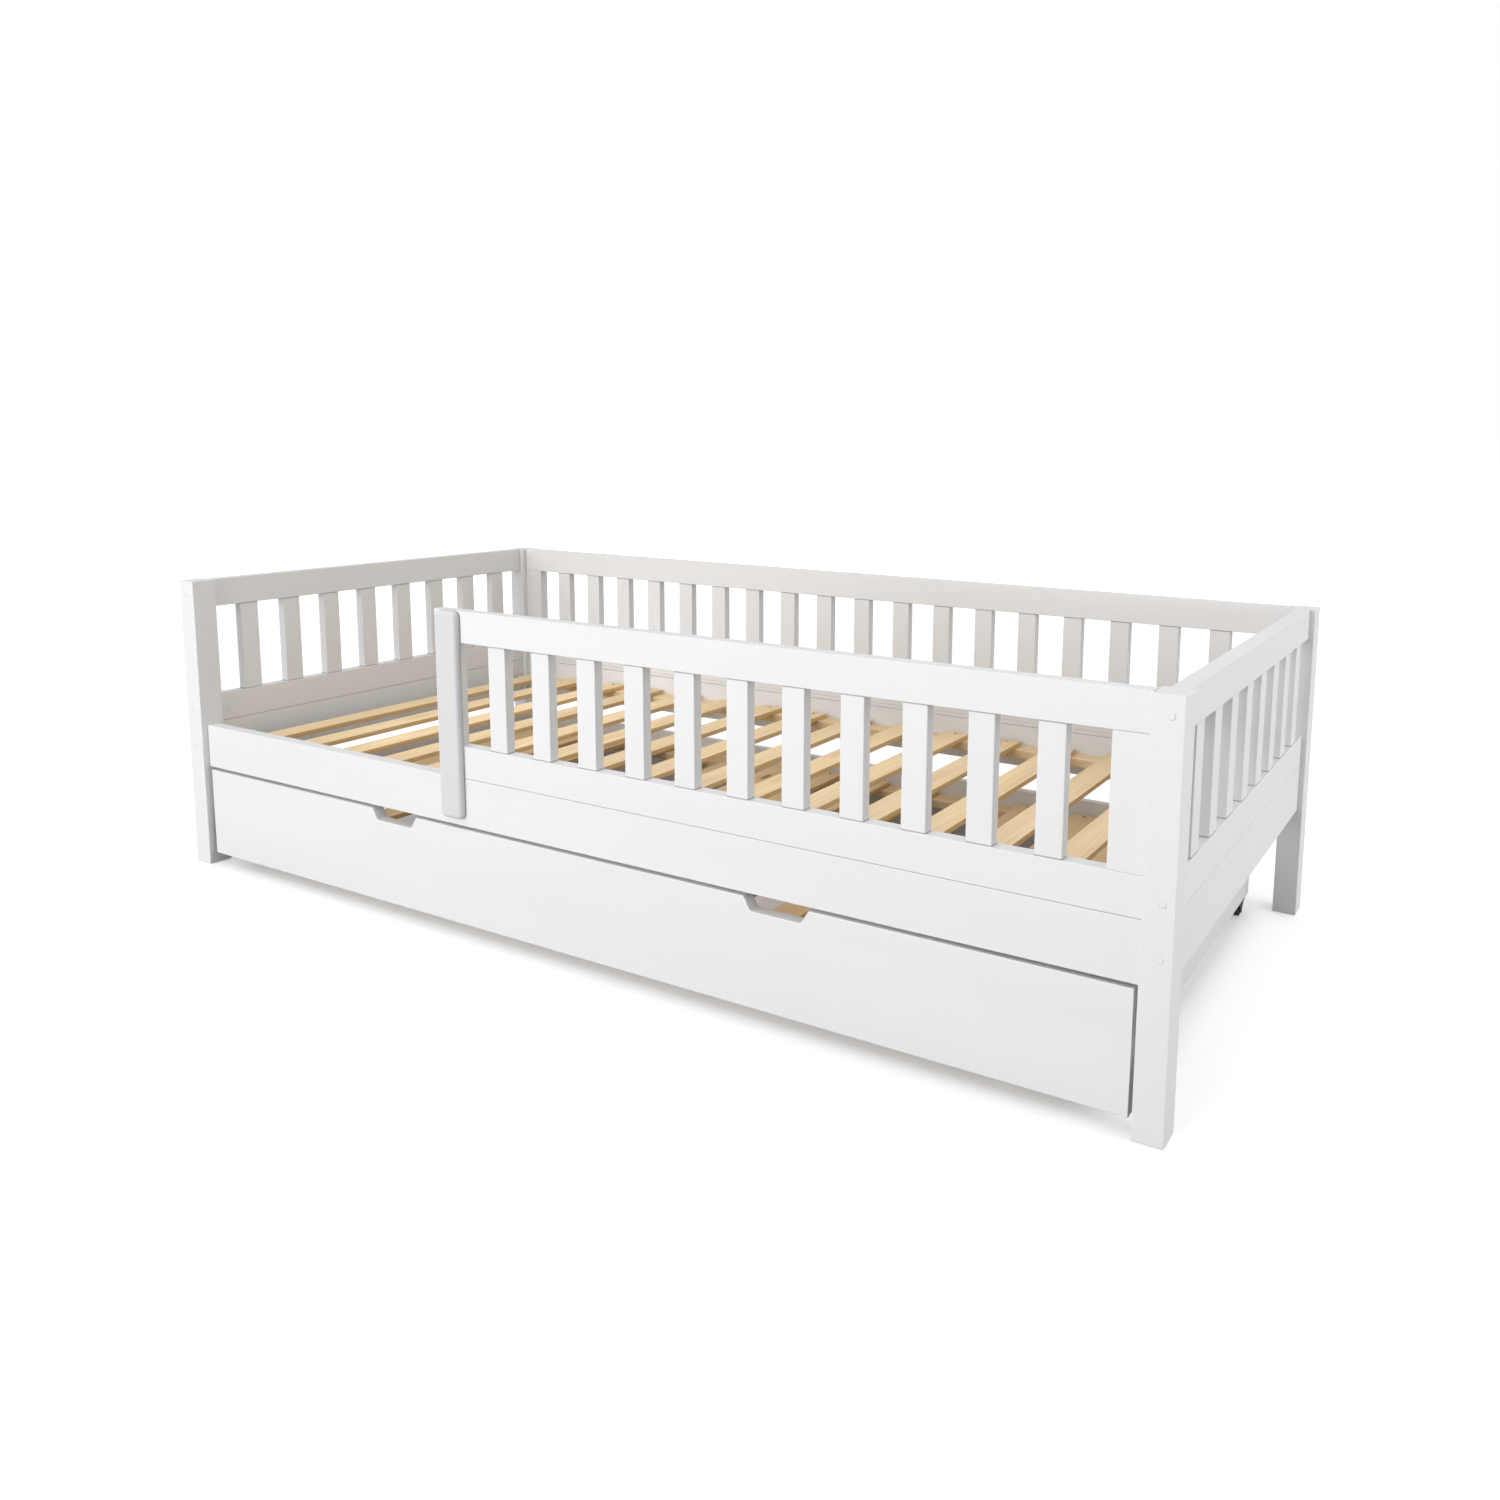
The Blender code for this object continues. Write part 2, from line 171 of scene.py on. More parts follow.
def blend_color(tree, factor, first, second):
    made = tree.nodes.new("ShaderNodeMix")
    made.data_type = "RGBA"
    put(tree, made.inputs[0], factor)
    for socket, value in ((made.inputs[6], first), (made.inputs[7], second)):
        put(tree, socket, value if isinstance(value, bpy.types.NodeSocket) else (*value, 1.0))
    return made.outputs[2]


def ramp(tree, factor, stops):
    made = tree.nodes.new("ShaderNodeValToRGB")
    put(tree, made.inputs[0], factor)
    marks = made.color_ramp.elements
    while len(marks) < len(stops):
        marks.new(0.5)
    for mark, (place, level) in zip(marks, stops):
        mark.position = place
        mark.color = (level, level, level, 1.0)
    return made.outputs[0]


def bump(tree, height, strength, distance):
    made = node(tree, "ShaderNodeBump", None, Height=height, Strength=strength, Distance=distance)
    return made.outputs[0]


def shader_of(name):
    mat = bpy.data.materials.new(name)
    mat.use_nodes = True
    return mat, mat.node_tree, mat.node_tree.nodes["Principled BSDF"]


def grain_place(tree):
    return node(tree, "ShaderNodeAttribute", {"attribute_name": GRAIN}).outputs["Vector"]


def knot_field(tree, place, spread, size, share):
    """(mask, closeness) of scattered oval knots, longer along the grain."""
    spaced = vector(tree, "MULTIPLY", place, spread)
    cells = node(tree, "ShaderNodeTexVoronoi", {"feature": "F1"}, Vector=spaced, Scale=1.0)
    chance = node(tree, "ShaderNodeSeparateColor", None, Color=cells.outputs["Color"]).outputs[0]
    picked = calc(tree, "GREATER_THAN", chance, 1.0 - share)
    near = remap(tree, cells.outputs["Distance"], size * 2.6, size, 0.0, 1.0, smooth=True)
    core = remap(tree, cells.outputs["Distance"], size, size * 0.72, 0.0, 1.0, smooth=True)
    return calc(tree, "MULTIPLY", core, picked), calc(tree, "MULTIPLY", near, picked)


def rings_of(tree, place, near_knot):
    """Yearly rings about a wandering pith, 0 in the pale early wood and 1 in the dark late wood."""
    wander = vector(tree, "MULTIPLY", place, (0.9, 4.0, 4.0))
    wander = vector(tree, "SUBTRACT", noise(tree, wander, 1.0, 2.0, output=1), (0.5, 0.5, 0.5))
    wander = vector(tree, "MULTIPLY", wander, PITH_WANDER)
    across = vector(tree, "MULTIPLY", vector(tree, "ADD", place, wander), (0.0, 1.0, 1.0))
    radius = vector(tree, "LENGTH", across)
    radius = calc(tree, "MULTIPLY_ADD", near_knot, 0.004, radius)
    pace = remap(tree, noise(tree, across, 22.0, 1.0), 0.3, 0.7, *RINGS_PER_M)
    turn = calc(tree, "FRACT", calc(tree, "MULTIPLY", radius, pace))
    return ramp(tree, turn, ((0.0, 0.05), (0.45, 0.22), (0.84, 1.0), (0.93, 0.75), (1.0, 0.05)))


def make_pine(name, pale, late, knot_color, tone):
    mat, tree, shader = shader_of(name)
    place = grain_place(tree)
    knot, near = knot_field(tree, place, (4.2, 15.0, 15.0), 0.105, 0.42)
    rings = rings_of(tree, place, near)
    fibres = noise(tree, vector(tree, "MULTIPLY", place, (14.0, 900.0, 900.0)), 1.0, 3.0, 0.6)
    streaks = noise(tree, vector(tree, "MULTIPLY", place, (1.6, 60.0, 60.0)), 1.0, 3.0, 0.6)
    along = vector(tree, "MULTIPLY", place, (0.35, 0.0, 0.0))
    board_tone = noise(tree, along, 1.0, 0.0)
    patch = noise(tree, vector(tree, "MULTIPLY", place, (2.5, 14.0, 14.0)), 1.0, 2.0)
    wood = blend_color(tree, calc(tree, "MULTIPLY", rings, tone), pale, late)
    wood = blend_color(tree, remap(tree, streaks, 0.45, 0.78, 0.0, 0.36), wood, late)
    wood = blend_color(tree, remap(tree, near, 0.0, 1.0, 0.0, 0.45), wood, late)
    wood = blend_color(tree, calc(tree, "MULTIPLY", knot, 0.88), wood, knot_color)
    level = remap(tree, board_tone, 0.32, 0.68, 0.91, 1.06)
    level = calc(tree, "MULTIPLY", level, remap(tree, patch, 0.3, 0.7, 0.95, 1.05))
    level = calc(tree, "MULTIPLY", level, remap(tree, fibres, 0.3, 0.7, 0.94, 1.05))
    level = node(tree, "ShaderNodeCombineXYZ", None, X=level, Y=level, Z=level).outputs[0]
    wood = vector(tree, "MULTIPLY", wood, level)
    # Faces turned along x (the slats' narrow sides, the ledgers' ends) are darkened: painted shade,
    # partly the saw-cut faces' own tone.
    facing = node(tree, "ShaderNodeTexCoord").outputs["Normal"]
    facing_x = calc(tree, "ABSOLUTE", vector(tree, "DOT_PRODUCT", facing, (1.0, 0.0, 0.0)))
    wood = blend_color(tree, remap(tree, facing_x, 0.3, 0.8, 0.0, 1.0), wood,
                       vector(tree, "MULTIPLY", wood, SIDE_SHADE_TINT))
    put(tree, shader.inputs["Base Color"], wood)
    rough = calc(tree, "MULTIPLY_ADD", rings, -0.10, remap(tree, fibres, 0.3, 0.7, 0.60, 0.72))
    put(tree, shader.inputs["Roughness"], calc(tree, "MULTIPLY_ADD", knot, -0.15, rough))
    relief = calc(tree, "ADD", calc(tree, "MULTIPLY", rings, 0.6), calc(tree, "MULTIPLY", fibres, 0.7))
    put(tree, shader.inputs["Normal"], bump(tree, relief, 0.35, 0.00025))
    return mat


def make_paint(name, white, shade, gloss_low, gloss_high):
    """Sprayed satin lacquer through which a little of the timber's grain still shows, darkened by painted
    contact shade in its joints.
    """
    mat, tree, shader = shader_of(name)
    place = grain_place(tree)
    knot, near = knot_field(tree, place, (3.0, 11.0, 11.0), 0.12, 0.22)
    rings = rings_of(tree, place, near)
    fibres = noise(tree, vector(tree, "MULTIPLY", place, (9.0, 420.0, 420.0)), 1.0, 3.0, 0.6)
    mottle = noise(tree, vector(tree, "MULTIPLY", place, (1.5, 9.0, 9.0)), 1.0, 3.0, 0.55)
    orange_peel = noise(tree, place, 520.0, 1.0)
    color = blend_color(tree, remap(tree, mottle, 0.35, 0.70, 0.0, 1.0), white, shade)
    color = blend_color(tree, calc(tree, "MULTIPLY", rings, 0.16), color, shade)
    color = blend_color(tree, calc(tree, "MULTIPLY", knot, 0.30), color, PAINTED_KNOT)
    # Joints and slat ends blend towards dark grey: painted contact shade, over the joints' own thin line.
    corner = node(tree, "ShaderNodeAttribute", {"attribute_name": CORNER}).outputs["Fac"]
    color = blend_color(tree, calc(tree, "MULTIPLY", corner, JOINT_SHADOW_STRENGTH), color, JOINT_PAINTED_SHADOW)
    put(tree, shader.inputs["Base Color"], color)
    gloss = remap(tree, mottle, 0.3, 0.7, gloss_low, gloss_high)
    put(tree, shader.inputs["Roughness"], calc(tree, "MULTIPLY_ADD", fibres, 0.05, gloss))
    relief = calc(tree, "ADD", calc(tree, "MULTIPLY", rings, 0.45), calc(tree, "MULTIPLY", fibres, 0.35))
    relief = calc(tree, "MULTIPLY_ADD", orange_peel, 0.18, relief)
    put(tree, shader.inputs["Normal"], bump(tree, relief, 0.16, 0.00020))
    return mat


def make_hard(name, color, other, rough, metallic=0.0, strength=0.12):
    """Moulded plastic, rubber or dark steel: fine surface texture and slightly uneven gloss."""
    mat, tree, shader = shader_of(name)
    place = node(tree, "ShaderNodeTexCoord").outputs["Object"]
    fine = noise(tree, place, PLASTIC_GRAIN, 2.0)
    broad = noise(tree, place, PLASTIC_GRAIN * 0.08, 2.0)
    patches = remap(tree, broad, 0.35, 0.65, 0.0, 1.0)
    put(tree, shader.inputs["Base Color"], blend_color(tree, patches, color, other))
    put(tree, shader.inputs["Roughness"], remap(tree, broad, 0.3, 0.7, rough - 0.07, rough + 0.07))
    shader.inputs["Metallic"].default_value = metallic
    put(tree, shader.inputs["Normal"], bump(tree, fine, strength, 0.0001))
    return mat


PAINT = make_paint("white_lacquer", (0.715, 0.717, 0.725), (0.690, 0.692, 0.700), 0.36, 0.44)
STRIP_PAINT = make_paint("guard_post_lacquer", (0.600, 0.603, 0.614), (0.575, 0.578, 0.590), 0.40, 0.48)
PINE = make_pine("planed_pine", (0.915, 0.712, 0.432), (0.660, 0.430, 0.195), (0.240, 0.120, 0.055), 0.38)
CAP_PLASTIC = make_hard("cap_plastic", (0.72, 0.72, 0.73), (0.69, 0.69, 0.70), 0.40)
# Dark grey ring round each cap: painted shadow in its seam.
CAP_SEAM_SHADOW = make_hard("cap_seam_painted_shadow", (0.42, 0.42, 0.43), (0.36, 0.36, 0.37), 0.60)
BLACK_PLASTIC = make_hard("black_plastic", (0.022, 0.022, 0.024), (0.032, 0.032, 0.034), 0.45)
TREAD = make_hard("wheel_tread_rubber", (0.030, 0.030, 0.031), (0.045, 0.044, 0.043), 0.70, strength=0.2)
DARK_STEEL = make_hard("dark_screw_steel", (0.10, 0.085, 0.07), (0.06, 0.052, 0.045), 0.42, metallic=1.0)
CAP_LOOKS = (CAP_PLASTIC, CAP_SEAM_SHADOW)


# ---- timber pieces -----------------------------------------------------------------------
class Timber:
    """Gathers boards into one mesh, each with its own grain."""

    def __init__(self):
        self.points, self.faces, self.grain, self.corner = [], [], [], []

    def take(self, bm, along, buried=None, meets=()):
        """Adds a finished bmesh whose grain runs along axis 0, 1 or 2. buried is how much of
        each end is inside a rail, and meets lists the sides, as (axis, -1 or 1), on a joint."""
        low = Vector(min(v.co[k] for v in bm.verts) for k in range(3))
        high = Vector(max(v.co[k] for v in bm.verts) for k in range(3))
        middle, size = (low + high) / 2, high - low
        rest = sorted((k for k in range(3) if k != along), key=lambda k: -size[k])
        order = (along, *rest)
        shift_along = RNG.uniform(-9, 9)
        shift_across = RNG.uniform(-0.035, 0.035)
        shift_through = RNG.choice((-1, 1)) * RNG.uniform(0.02, 0.07)
        shift = Vector((shift_along, shift_across, shift_through))
        # Cutting a mesh gives its points and faces in another order each run, so they are sorted.
        ordered = sorted(bm.verts, key=lambda v: tuple(v.co))
        numbers = {v: len(self.points) + number for number, v in enumerate(ordered)}
        for v in ordered:
            self.points.append(v.co.copy())
            self.grain.append(Vector([v.co[k] - middle[k] for k in order]) + shift)
            # A point at a slat's end in a rail, or on a joint, gets 1: there the paint takes painted
            # contact shade.
            to_end = size[along] / 2 - abs(v.co[along] - middle[along])
            in_rail = buried is not None and to_end < buried + CORNER_REACH / 2
            on_joint = any(size[axis] / 2 - side * (v.co[axis] - middle[axis]) < TOUCHING
                           for axis, side in meets)
            self.corner.append(1.0 if in_rail or on_joint else 0.0)
        rings = []
        for face in bm.faces:
            ring = [numbers[v] for v in face.verts]
            first = ring.index(min(ring))
            rings.append(ring[first:] + ring[:first])
        self.faces += sorted(rings)
        bm.free()

    def board(self, low, high, along, ease, segments, buried=None, meets=()):
        low, high = Vector(low), Vector(high)
        bm = bmesh.new()
        bmesh.ops.create_cube(bm, size=1.0)
        bmesh.ops.scale(bm, vec=high - low, verts=bm.verts)
        bmesh.ops.translate(bm, vec=(low + high) / 2, verts=bm.verts)
        bmesh.ops.bevel(bm, geom=bm.edges[:], offset=ease, segments=segments, profile=0.5, affect="EDGES")
        if buried is not None:
            # Loops at the rail's face and a little beyond it, over which the painted shade at a slat's
            # end fades.
            normal = Vector(1.0 if k == along else 0.0 for k in range(3))
            for inset in (buried, buried + CORNER_REACH):
                for end, side in ((low, 1), (high, -1)):
                    geom = bm.verts[:] + bm.edges[:] + bm.faces[:]
                    cut = end + normal * inset * side
                    bmesh.ops.bisect_plane(bm, geom=geom, plane_co=cut, plane_no=normal)
        self.take(bm, along, buried, meets)

    def piece(self, name, mat, body):
        mesh = bpy.data.meshes.new(name)
        mesh.from_pydata(self.points, [], self.faces)
        values = [number for point in self.grain for number in point]
        mesh.attributes.new(GRAIN, "FLOAT_VECTOR", "POINT").data.foreach_set("vector", values)
        mesh.attributes.new(CORNER, "FLOAT", "POINT").data.foreach_set("value", self.corner)
        return finish_piece(name, mesh, mat, body)


def finish_piece(name, mesh, mat, body):
    for face in mesh.polygons:
        face.use_smooth = True
    obj = bpy.data.objects.new(name, mesh)
    for one in mat if isinstance(mat, (list, tuple)) else (mat,):
        mesh.materials.append(one)
    bpy.context.scene.collection.objects.link(obj)
    shading = obj.modifiers.new("flat_faces", "WEIGHTED_NORMAL")
    shading.weight = 100
    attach(obj, body)
    return obj


def stand_for(obj, node_name):
    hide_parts(node_name)


def plain_board(node_name, along, ease, mat, body, segments=2, meets=()):
    low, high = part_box(node_name)
    timber = Timber()
    timber.board(low, high, along, ease, segments, meets=meets)
    stand_for(timber.piece("board_" + node_name, mat, body), node_name)


def row(start, stop, count, width):
    gap = (stop - start - count * width) / (count + 1)
    return [start + gap + number * (width + gap) for number in range(count)]


def panel(node_name, axis, slats, stiles, joined=(-1, 1)):
    """Rails, stiles and upright slats. axis is the one the rails run along, and joined
    lists the ends that meet a post."""
    low, high = (Vector(corner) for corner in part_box(node_name))
    deep = 1 - axis
    middle = (low[deep] + high[deep]) / 2
    timber = Timber()

    def add(start, stop, bottom, top, thickness, along, ease, segments, buried=None, meets=()):
        corners = [[0.0] * 3, [0.0] * 3]
        for corner, span, side, level in ((corners[0], start, -1, bottom), (corners[1], stop, 1, top)):
            corner[axis] = span
            corner[deep] = middle + side * thickness / 2
            corner[2] = level
        timber.board(*corners, along, ease, segments, buried, meets)

    whole = high[deep] - low[deep]
    rail_top, rail_bottom = low.z + MID_RAIL_H, high.z - TOP_RAIL_H
    ends = [(axis, side) for side in joined]
    add(low[axis], high[axis], rail_bottom, high.z, whole, axis, RAIL_EASE, 2, meets=ends)
    cuts = [low.z] + ([low.z + RAIL_LIP] if node_name == "back_panel" else []) + [rail_top]
    for bottom, top in zip(cuts, cuts[1:]):
        add(low[axis], high[axis], bottom, top, whole, axis, RAIL_EASE, 2, meets=(*ends, (2, -1)))
    for start in stiles:
        add(start, start + STILE_W, rail_top, rail_bottom, whole, 2, SEAM_EASE, 2,
            meets=((2, -1), (2, 1)))
    for start in slats:
        add(start, start + SLAT_W, rail_top - SLAT_IN, rail_bottom + SLAT_IN, SLAT_T, 2, SLAT_EASE, 3,
            buried=SLAT_IN)
    stand_for(timber.piece("frame_" + node_name, PAINT, "bed_frame"), node_name)


def outline_solid(outline, near, far, ease, segments):
    """A bmesh of an (x, z) outline between two depths, with its front and back edges eased."""
    bm = bmesh.new()
    front = bm.faces.new([bm.verts.new((x, near, z)) for x, z in outline])
    grown = bmesh.ops.extrude_face_region(bm, geom=[front])
    moved = [item for item in grown["geom"] if isinstance(item, bmesh.types.BMVert)]
    bmesh.ops.translate(bm, vec=(0, far - near, 0), verts=moved)
    bmesh.ops.recalc_face_normals(bm, faces=bm.faces[:])
    rims = [edge for edge in bm.edges if abs(edge.verts[0].co.y - edge.verts[1].co.y) < 1e-6]
    bmesh.ops.bevel(bm, geom=rims, offset=ease, segments=segments, profile=0.5, affect="EDGES")
    return bm


def add_posts():
    for front in ("front", "back"):
        for end in ("left", "right"):
            plain_board(f"post_{front}_{end}", 2, POST_EASE, PAINT, "bed_frame", 3)


def add_boards():
    boards = (("side_rail_front", 0), ("back_board", 0), ("end_board_left", 1), ("end_board_right", 1))
    for name, along in boards:
        meets = [(along, -1), (along, 1)] + ([] if name == "side_rail_front" else [(2, 1)])
        plain_board(name, along, RAIL_EASE, PAINT, "bed_frame", meets=meets)
    for name in ("ledger_front", "ledger_back"):
        plain_board(name, 0, PINE_EASE, PINE, "bed_frame")


def add_panels():
    low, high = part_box("back_panel")
    slats = row(low[0] + STILE_W, high[0] - STILE_W, LONG_SLATS, SLAT_W)
    panel("back_panel", 0, slats, (low[0], high[0] - STILE_W))
    low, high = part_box("guard_panel")
    panel("guard_panel", 0, slats[-GUARD_SLATS:], (low[0], high[0] - STILE_W), joined=(1,))
    for end in ("left", "right"):
        low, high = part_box(f"end_panel_{end}")
        panel(f"end_panel_{end}", 1, row(low[1], high[1], END_SLATS, SLAT_W), ())


def rounded_outline(low, high, radius, steps=6):
    points = []
    corners = ((high[0], high[1], 0), (low[0], high[1], 1), (low[0], low[1], 2), (high[0], low[1], 3))
    for x, z, quarter in corners:
        mid_x = x - radius if quarter in (0, 3) else x + radius
        mid_z = z - radius if quarter in (0, 1) else z + radius
        for step in range(steps + 1):
            angle = math.radians(90 * quarter + 90 * step / steps)
            points.append((mid_x + radius * math.cos(angle), mid_z + radius * math.sin(angle)))
    return points


def add_guard_post():
    """The upright strip over the guard's free end, rounded towards the front."""
    low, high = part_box("guard_post")
    outline = rounded_outline((low[0], low[2]), (high[0], high[2]), STRIP_CORNER)
    bm = bmesh.new()
    rings = [[bm.verts.new((x, high[1], z)) for x, z in outline]]
    for step in range(STRIP_ROUND_STEPS + 1):
        angle = math.radians(90 * step / STRIP_ROUND_STEPS)
        inset = STRIP_ROUNDING * (1 - math.cos(angle))
        y = low[1] + STRIP_ROUNDING * (1 - math.sin(angle))
        shrunk = rounded_outline((low[0] + inset, low[2] + inset), (high[0] - inset, high[2] - inset),
                                 STRIP_CORNER - inset)
        rings.append([bm.verts.new((x, y, z)) for x, z in shrunk])
    count = len(outline)
    for first, second in zip(rings, rings[1:]):
        for number in range(count):
            after = (number + 1) % count
            bm.faces.new((first[number], first[after], second[after], second[number]))
    bm.faces.new(rings[0])
    bm.faces.new(rings[-1])
    bmesh.ops.recalc_face_normals(bm, faces=bm.faces[:])
    timber = Timber()
    timber.take(bm, 2)
    stand_for(timber.piece("guard_cover_post", STRIP_PAINT, "bed_frame"), "guard_post")


def handle_outline(low, high):
    """The trundle front's outline with its two hand holes, anticlockwise seen from the front."""
    points = [(low[0], low[2]), (high[0], low[2]), (high[0], high[2])]
    top, bottom = high[2], high[2] - HANDLE_DEPTH
    slant = (HANDLE_TOP_W - HANDLE_BOTTOM_W) / 2 / HANDLE_DEPTH
    turn = math.pi / 2 - math.atan(slant)
    centre = HANDLE_BOTTOM_W / 2 - HANDLE_ROUND * math.tan(turn / 2)
    right = [(HANDLE_TOP_W / 2, top)]
    for step in range(HANDLE_ROUND_STEPS + 1):
        angle = turn * (1 - step / HANDLE_ROUND_STEPS)
        z = bottom + HANDLE_ROUND * (1 - math.cos(angle))
        right.append((centre + HANDLE_ROUND * math.sin(angle), z))
    for x in (HANDLE_X, -HANDLE_X):
        points += [(x + px, z) for px, z in right]
        points += [(x - px, z) for px, z in reversed(right)]
    return points + [(low[0], high[2])]


def add_trundle():
    low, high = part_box("trundle_front")
    timber = Timber()
    timber.take(outline_solid(handle_outline(low, high), low[1], high[1], DRAWER_EASE, 2), 0)
    stand_for(timber.piece("drawer_front", PAINT, "trundle"), "trundle_front")
    for name, along in (("trundle_back", 0), ("trundle_end_left", 1), ("trundle_end_right", 1)):
        plain_board(name, along, RAIL_EASE, PAINT, "trundle")
    for name in ("trundle_ledger_front", "trundle_ledger_back"):
        plain_board(name, 0, PINE_EASE, PINE, "trundle")


def add_slats():
    for name in sorted(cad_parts):
        if name.startswith("base_slat_"):
            plain_board(name, 1, PINE_EASE, PINE, "bed_frame")
        elif name.startswith("trundle_slat_"):
            plain_board(name, 1, PINE_EASE, PINE, "trundle")


# ---- fittings --------------------------------------------------------------------------
class Fittings:
    """Gathers small turned pieces into one mesh."""

    def __init__(self):
        self.points, self.faces, self.marks = [], [], []

    def turned(self, profile, centre, direction, segments=24, seam=0):
        """A (radius, height) profile turned about a direction, its first seam bands in the
        second material, on caps the dark grey of painted shadow. A zero radius closes it."""
        turn = Vector((0, 0, 1)).rotation_difference(Vector(direction)).to_matrix()
        rings = []
        for radius, height in profile:
            count = 1 if radius == 0 else segments
            rings.append(range(len(self.points), len(self.points) + count))
            for number in range(count):
                angle = 2 * math.pi * number / segments
                local = Vector((radius * math.cos(angle), radius * math.sin(angle), height))
                self.points.append(Vector(centre) + turn @ local)
        for band, (first, second) in enumerate(zip(rings, rings[1:])):
            for number in range(segments):
                after = (number + 1) % segments
                ring = [first[number % len(first)], first[after % len(first)],
                        second[after % len(second)], second[number % len(second)]]
                self.faces.append(list(dict.fromkeys(ring)))
                self.marks.append(1 if band < seam else 0)

    def piece(self, name, mats, body):
        mesh = bpy.data.meshes.new(name)
        mesh.from_pydata(self.points, [], self.faces)
        obj = finish_piece(name, mesh, mats, body)
        mesh.polygons.foreach_set("material_index", self.marks)
        return obj


def cap_profile(radius, proud):
    """A shallow domed cap. Its first CAP_SHADOW_BANDS bands are the fine seam round its rim, in dark grey
    as painted shadow.
    """
    rim = radius + CAP_SEAM_W
    seam = [(0, -CAP_BURIED), (rim, -CAP_BURIED), (rim, CAP_SEAM_RISE), (radius, CAP_SEAM_RISE)]
    return seam + [(radius, proud * 0.55), (radius * 0.93, proud), (radius * 0.5, proud * 1.15),
                   (0, proud * 1.2)]


def screw_profile(radius):
    """A countersunk head with a small driver recess."""
    return [(0, -0.0008), (radius, -0.0008), (radius, 0.0002), (radius * 0.93, 0.0004),
            (radius * 0.42, 0.0004), (radius * 0.34, 0.0001), (0, -0.0004)]


def add_bolt_caps():
    for front, side in (("front", -1), ("back", 1)):
        for end in ("left", "right"):
            low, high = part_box(f"post_{front}_{end}")
            face = low[1] if side < 0 else high[1]
            x = low[0] + CAP_INSET if end == "left" else high[0] - CAP_INSET
            caps = Fittings()
            profile = cap_profile(CAP_R, CAP_PROUD)
            for level in CAP_LEVELS:
                caps.turned(profile, (x, face, level), (0, side, 0), 32, CAP_SHADOW_BANDS)
            caps.piece(f"bolt_caps_{front}_{end}", CAP_LOOKS, "bed_frame")


def add_barrel_nuts():
    """Covered nuts for the post bolts, on the inner faces of the end boards and middle rails."""
    for end, side in (("left", -1), ("right", 1)):
        low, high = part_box(f"end_board_{end}")
        face = high[0] if side < 0 else low[0]
        nuts = Fittings()
        profile = cap_profile(NUT_R, FLUSH_PROUD)
        for y in (low[1] + NUT_INSET, high[1] - NUT_INSET):
            for level in NUT_LEVELS:
                nuts.turned(profile, (face, y, level), (-side, 0, 0), 32, CAP_SHADOW_BANDS)
        nuts.piece(f"barrel_nuts_{end}", CAP_LOOKS, "bed_frame")


def add_spare_hole_caps():
    """Covers over the holes that would take the guard on the other front post."""
    low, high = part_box("post_front_left")
    caps = Fittings()
    profile = cap_profile(SPARE_R, FLUSH_PROUD)
    for level in SPARE_LEVELS:
        centre = (high[0], low[1] + SPARE_INSET, level)
        caps.turned(profile, centre, (1, 0, 0), 28, CAP_SHADOW_BANDS)
    caps.piece("spare_hole_caps", CAP_LOOKS, "bed_frame")


def add_screws():
    for prefix, body in (("base_slat", "bed_frame"), ("trundle_slat", "trundle")):
        screws = Fittings()
        for name in sorted(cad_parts):
            if name.startswith(prefix + "_"):
                low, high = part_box(name)
                x = (low[0] + high[0]) / 2
                for y in (low[1] + SCREW_INSET, high[1] - SCREW_INSET):
                    screws.turned(screw_profile(SCREW_R), (x, y, high[2]), (0, 0, 1), 20)
        screws.piece(prefix + "_screws", DARK_STEEL, body)


def finish_castors():
    for name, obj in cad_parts.items():
        if name.startswith("castor_"):
            obj.data.materials.clear()
            obj.data.materials.append(TREAD if "wheel" in name else BLACK_PLASTIC)


# ---- studio ----------------------------------------------------------------------------
CAMERA_PLACE = (1.4093, -1.9525, 0.9094)
CAMERA_TURN = (81.792, -0.739, 29.708)     # degrees about x, y and z
CAMERA_LENS = 29.105
CAMERA_SHIFT = (-0.0727, -0.0909)


def add_camera():
    data = bpy.data.cameras.new("camera")
    data.sensor_width = 36.0
    data.lens = CAMERA_LENS
    data.shift_x, data.shift_y = CAMERA_SHIFT
    data.clip_end = 200.0
    camera = bpy.data.objects.new("camera", data)
    turn = Euler([math.radians(angle) for angle in CAMERA_TURN])
    camera.matrix_world = Matrix.Translation(CAMERA_PLACE) @ turn.to_matrix().to_4x4()
    bpy.context.scene.collection.objects.link(camera)
    bpy.context.scene.camera = camera


def area_light(name, place, target, size, energy):
    data = bpy.data.lights.new(name, "AREA")
    data.shape = "RECTANGLE"
    data.size, data.size_y = size
    data.energy = energy
    lamp = bpy.data.objects.new(name, data)
    lamp.location = place
    lamp.rotation_euler = (Vector(target) - Vector(place)).to_track_quat("-Z", "Y").to_euler()
    bpy.context.scene.collection.objects.link(lamp)


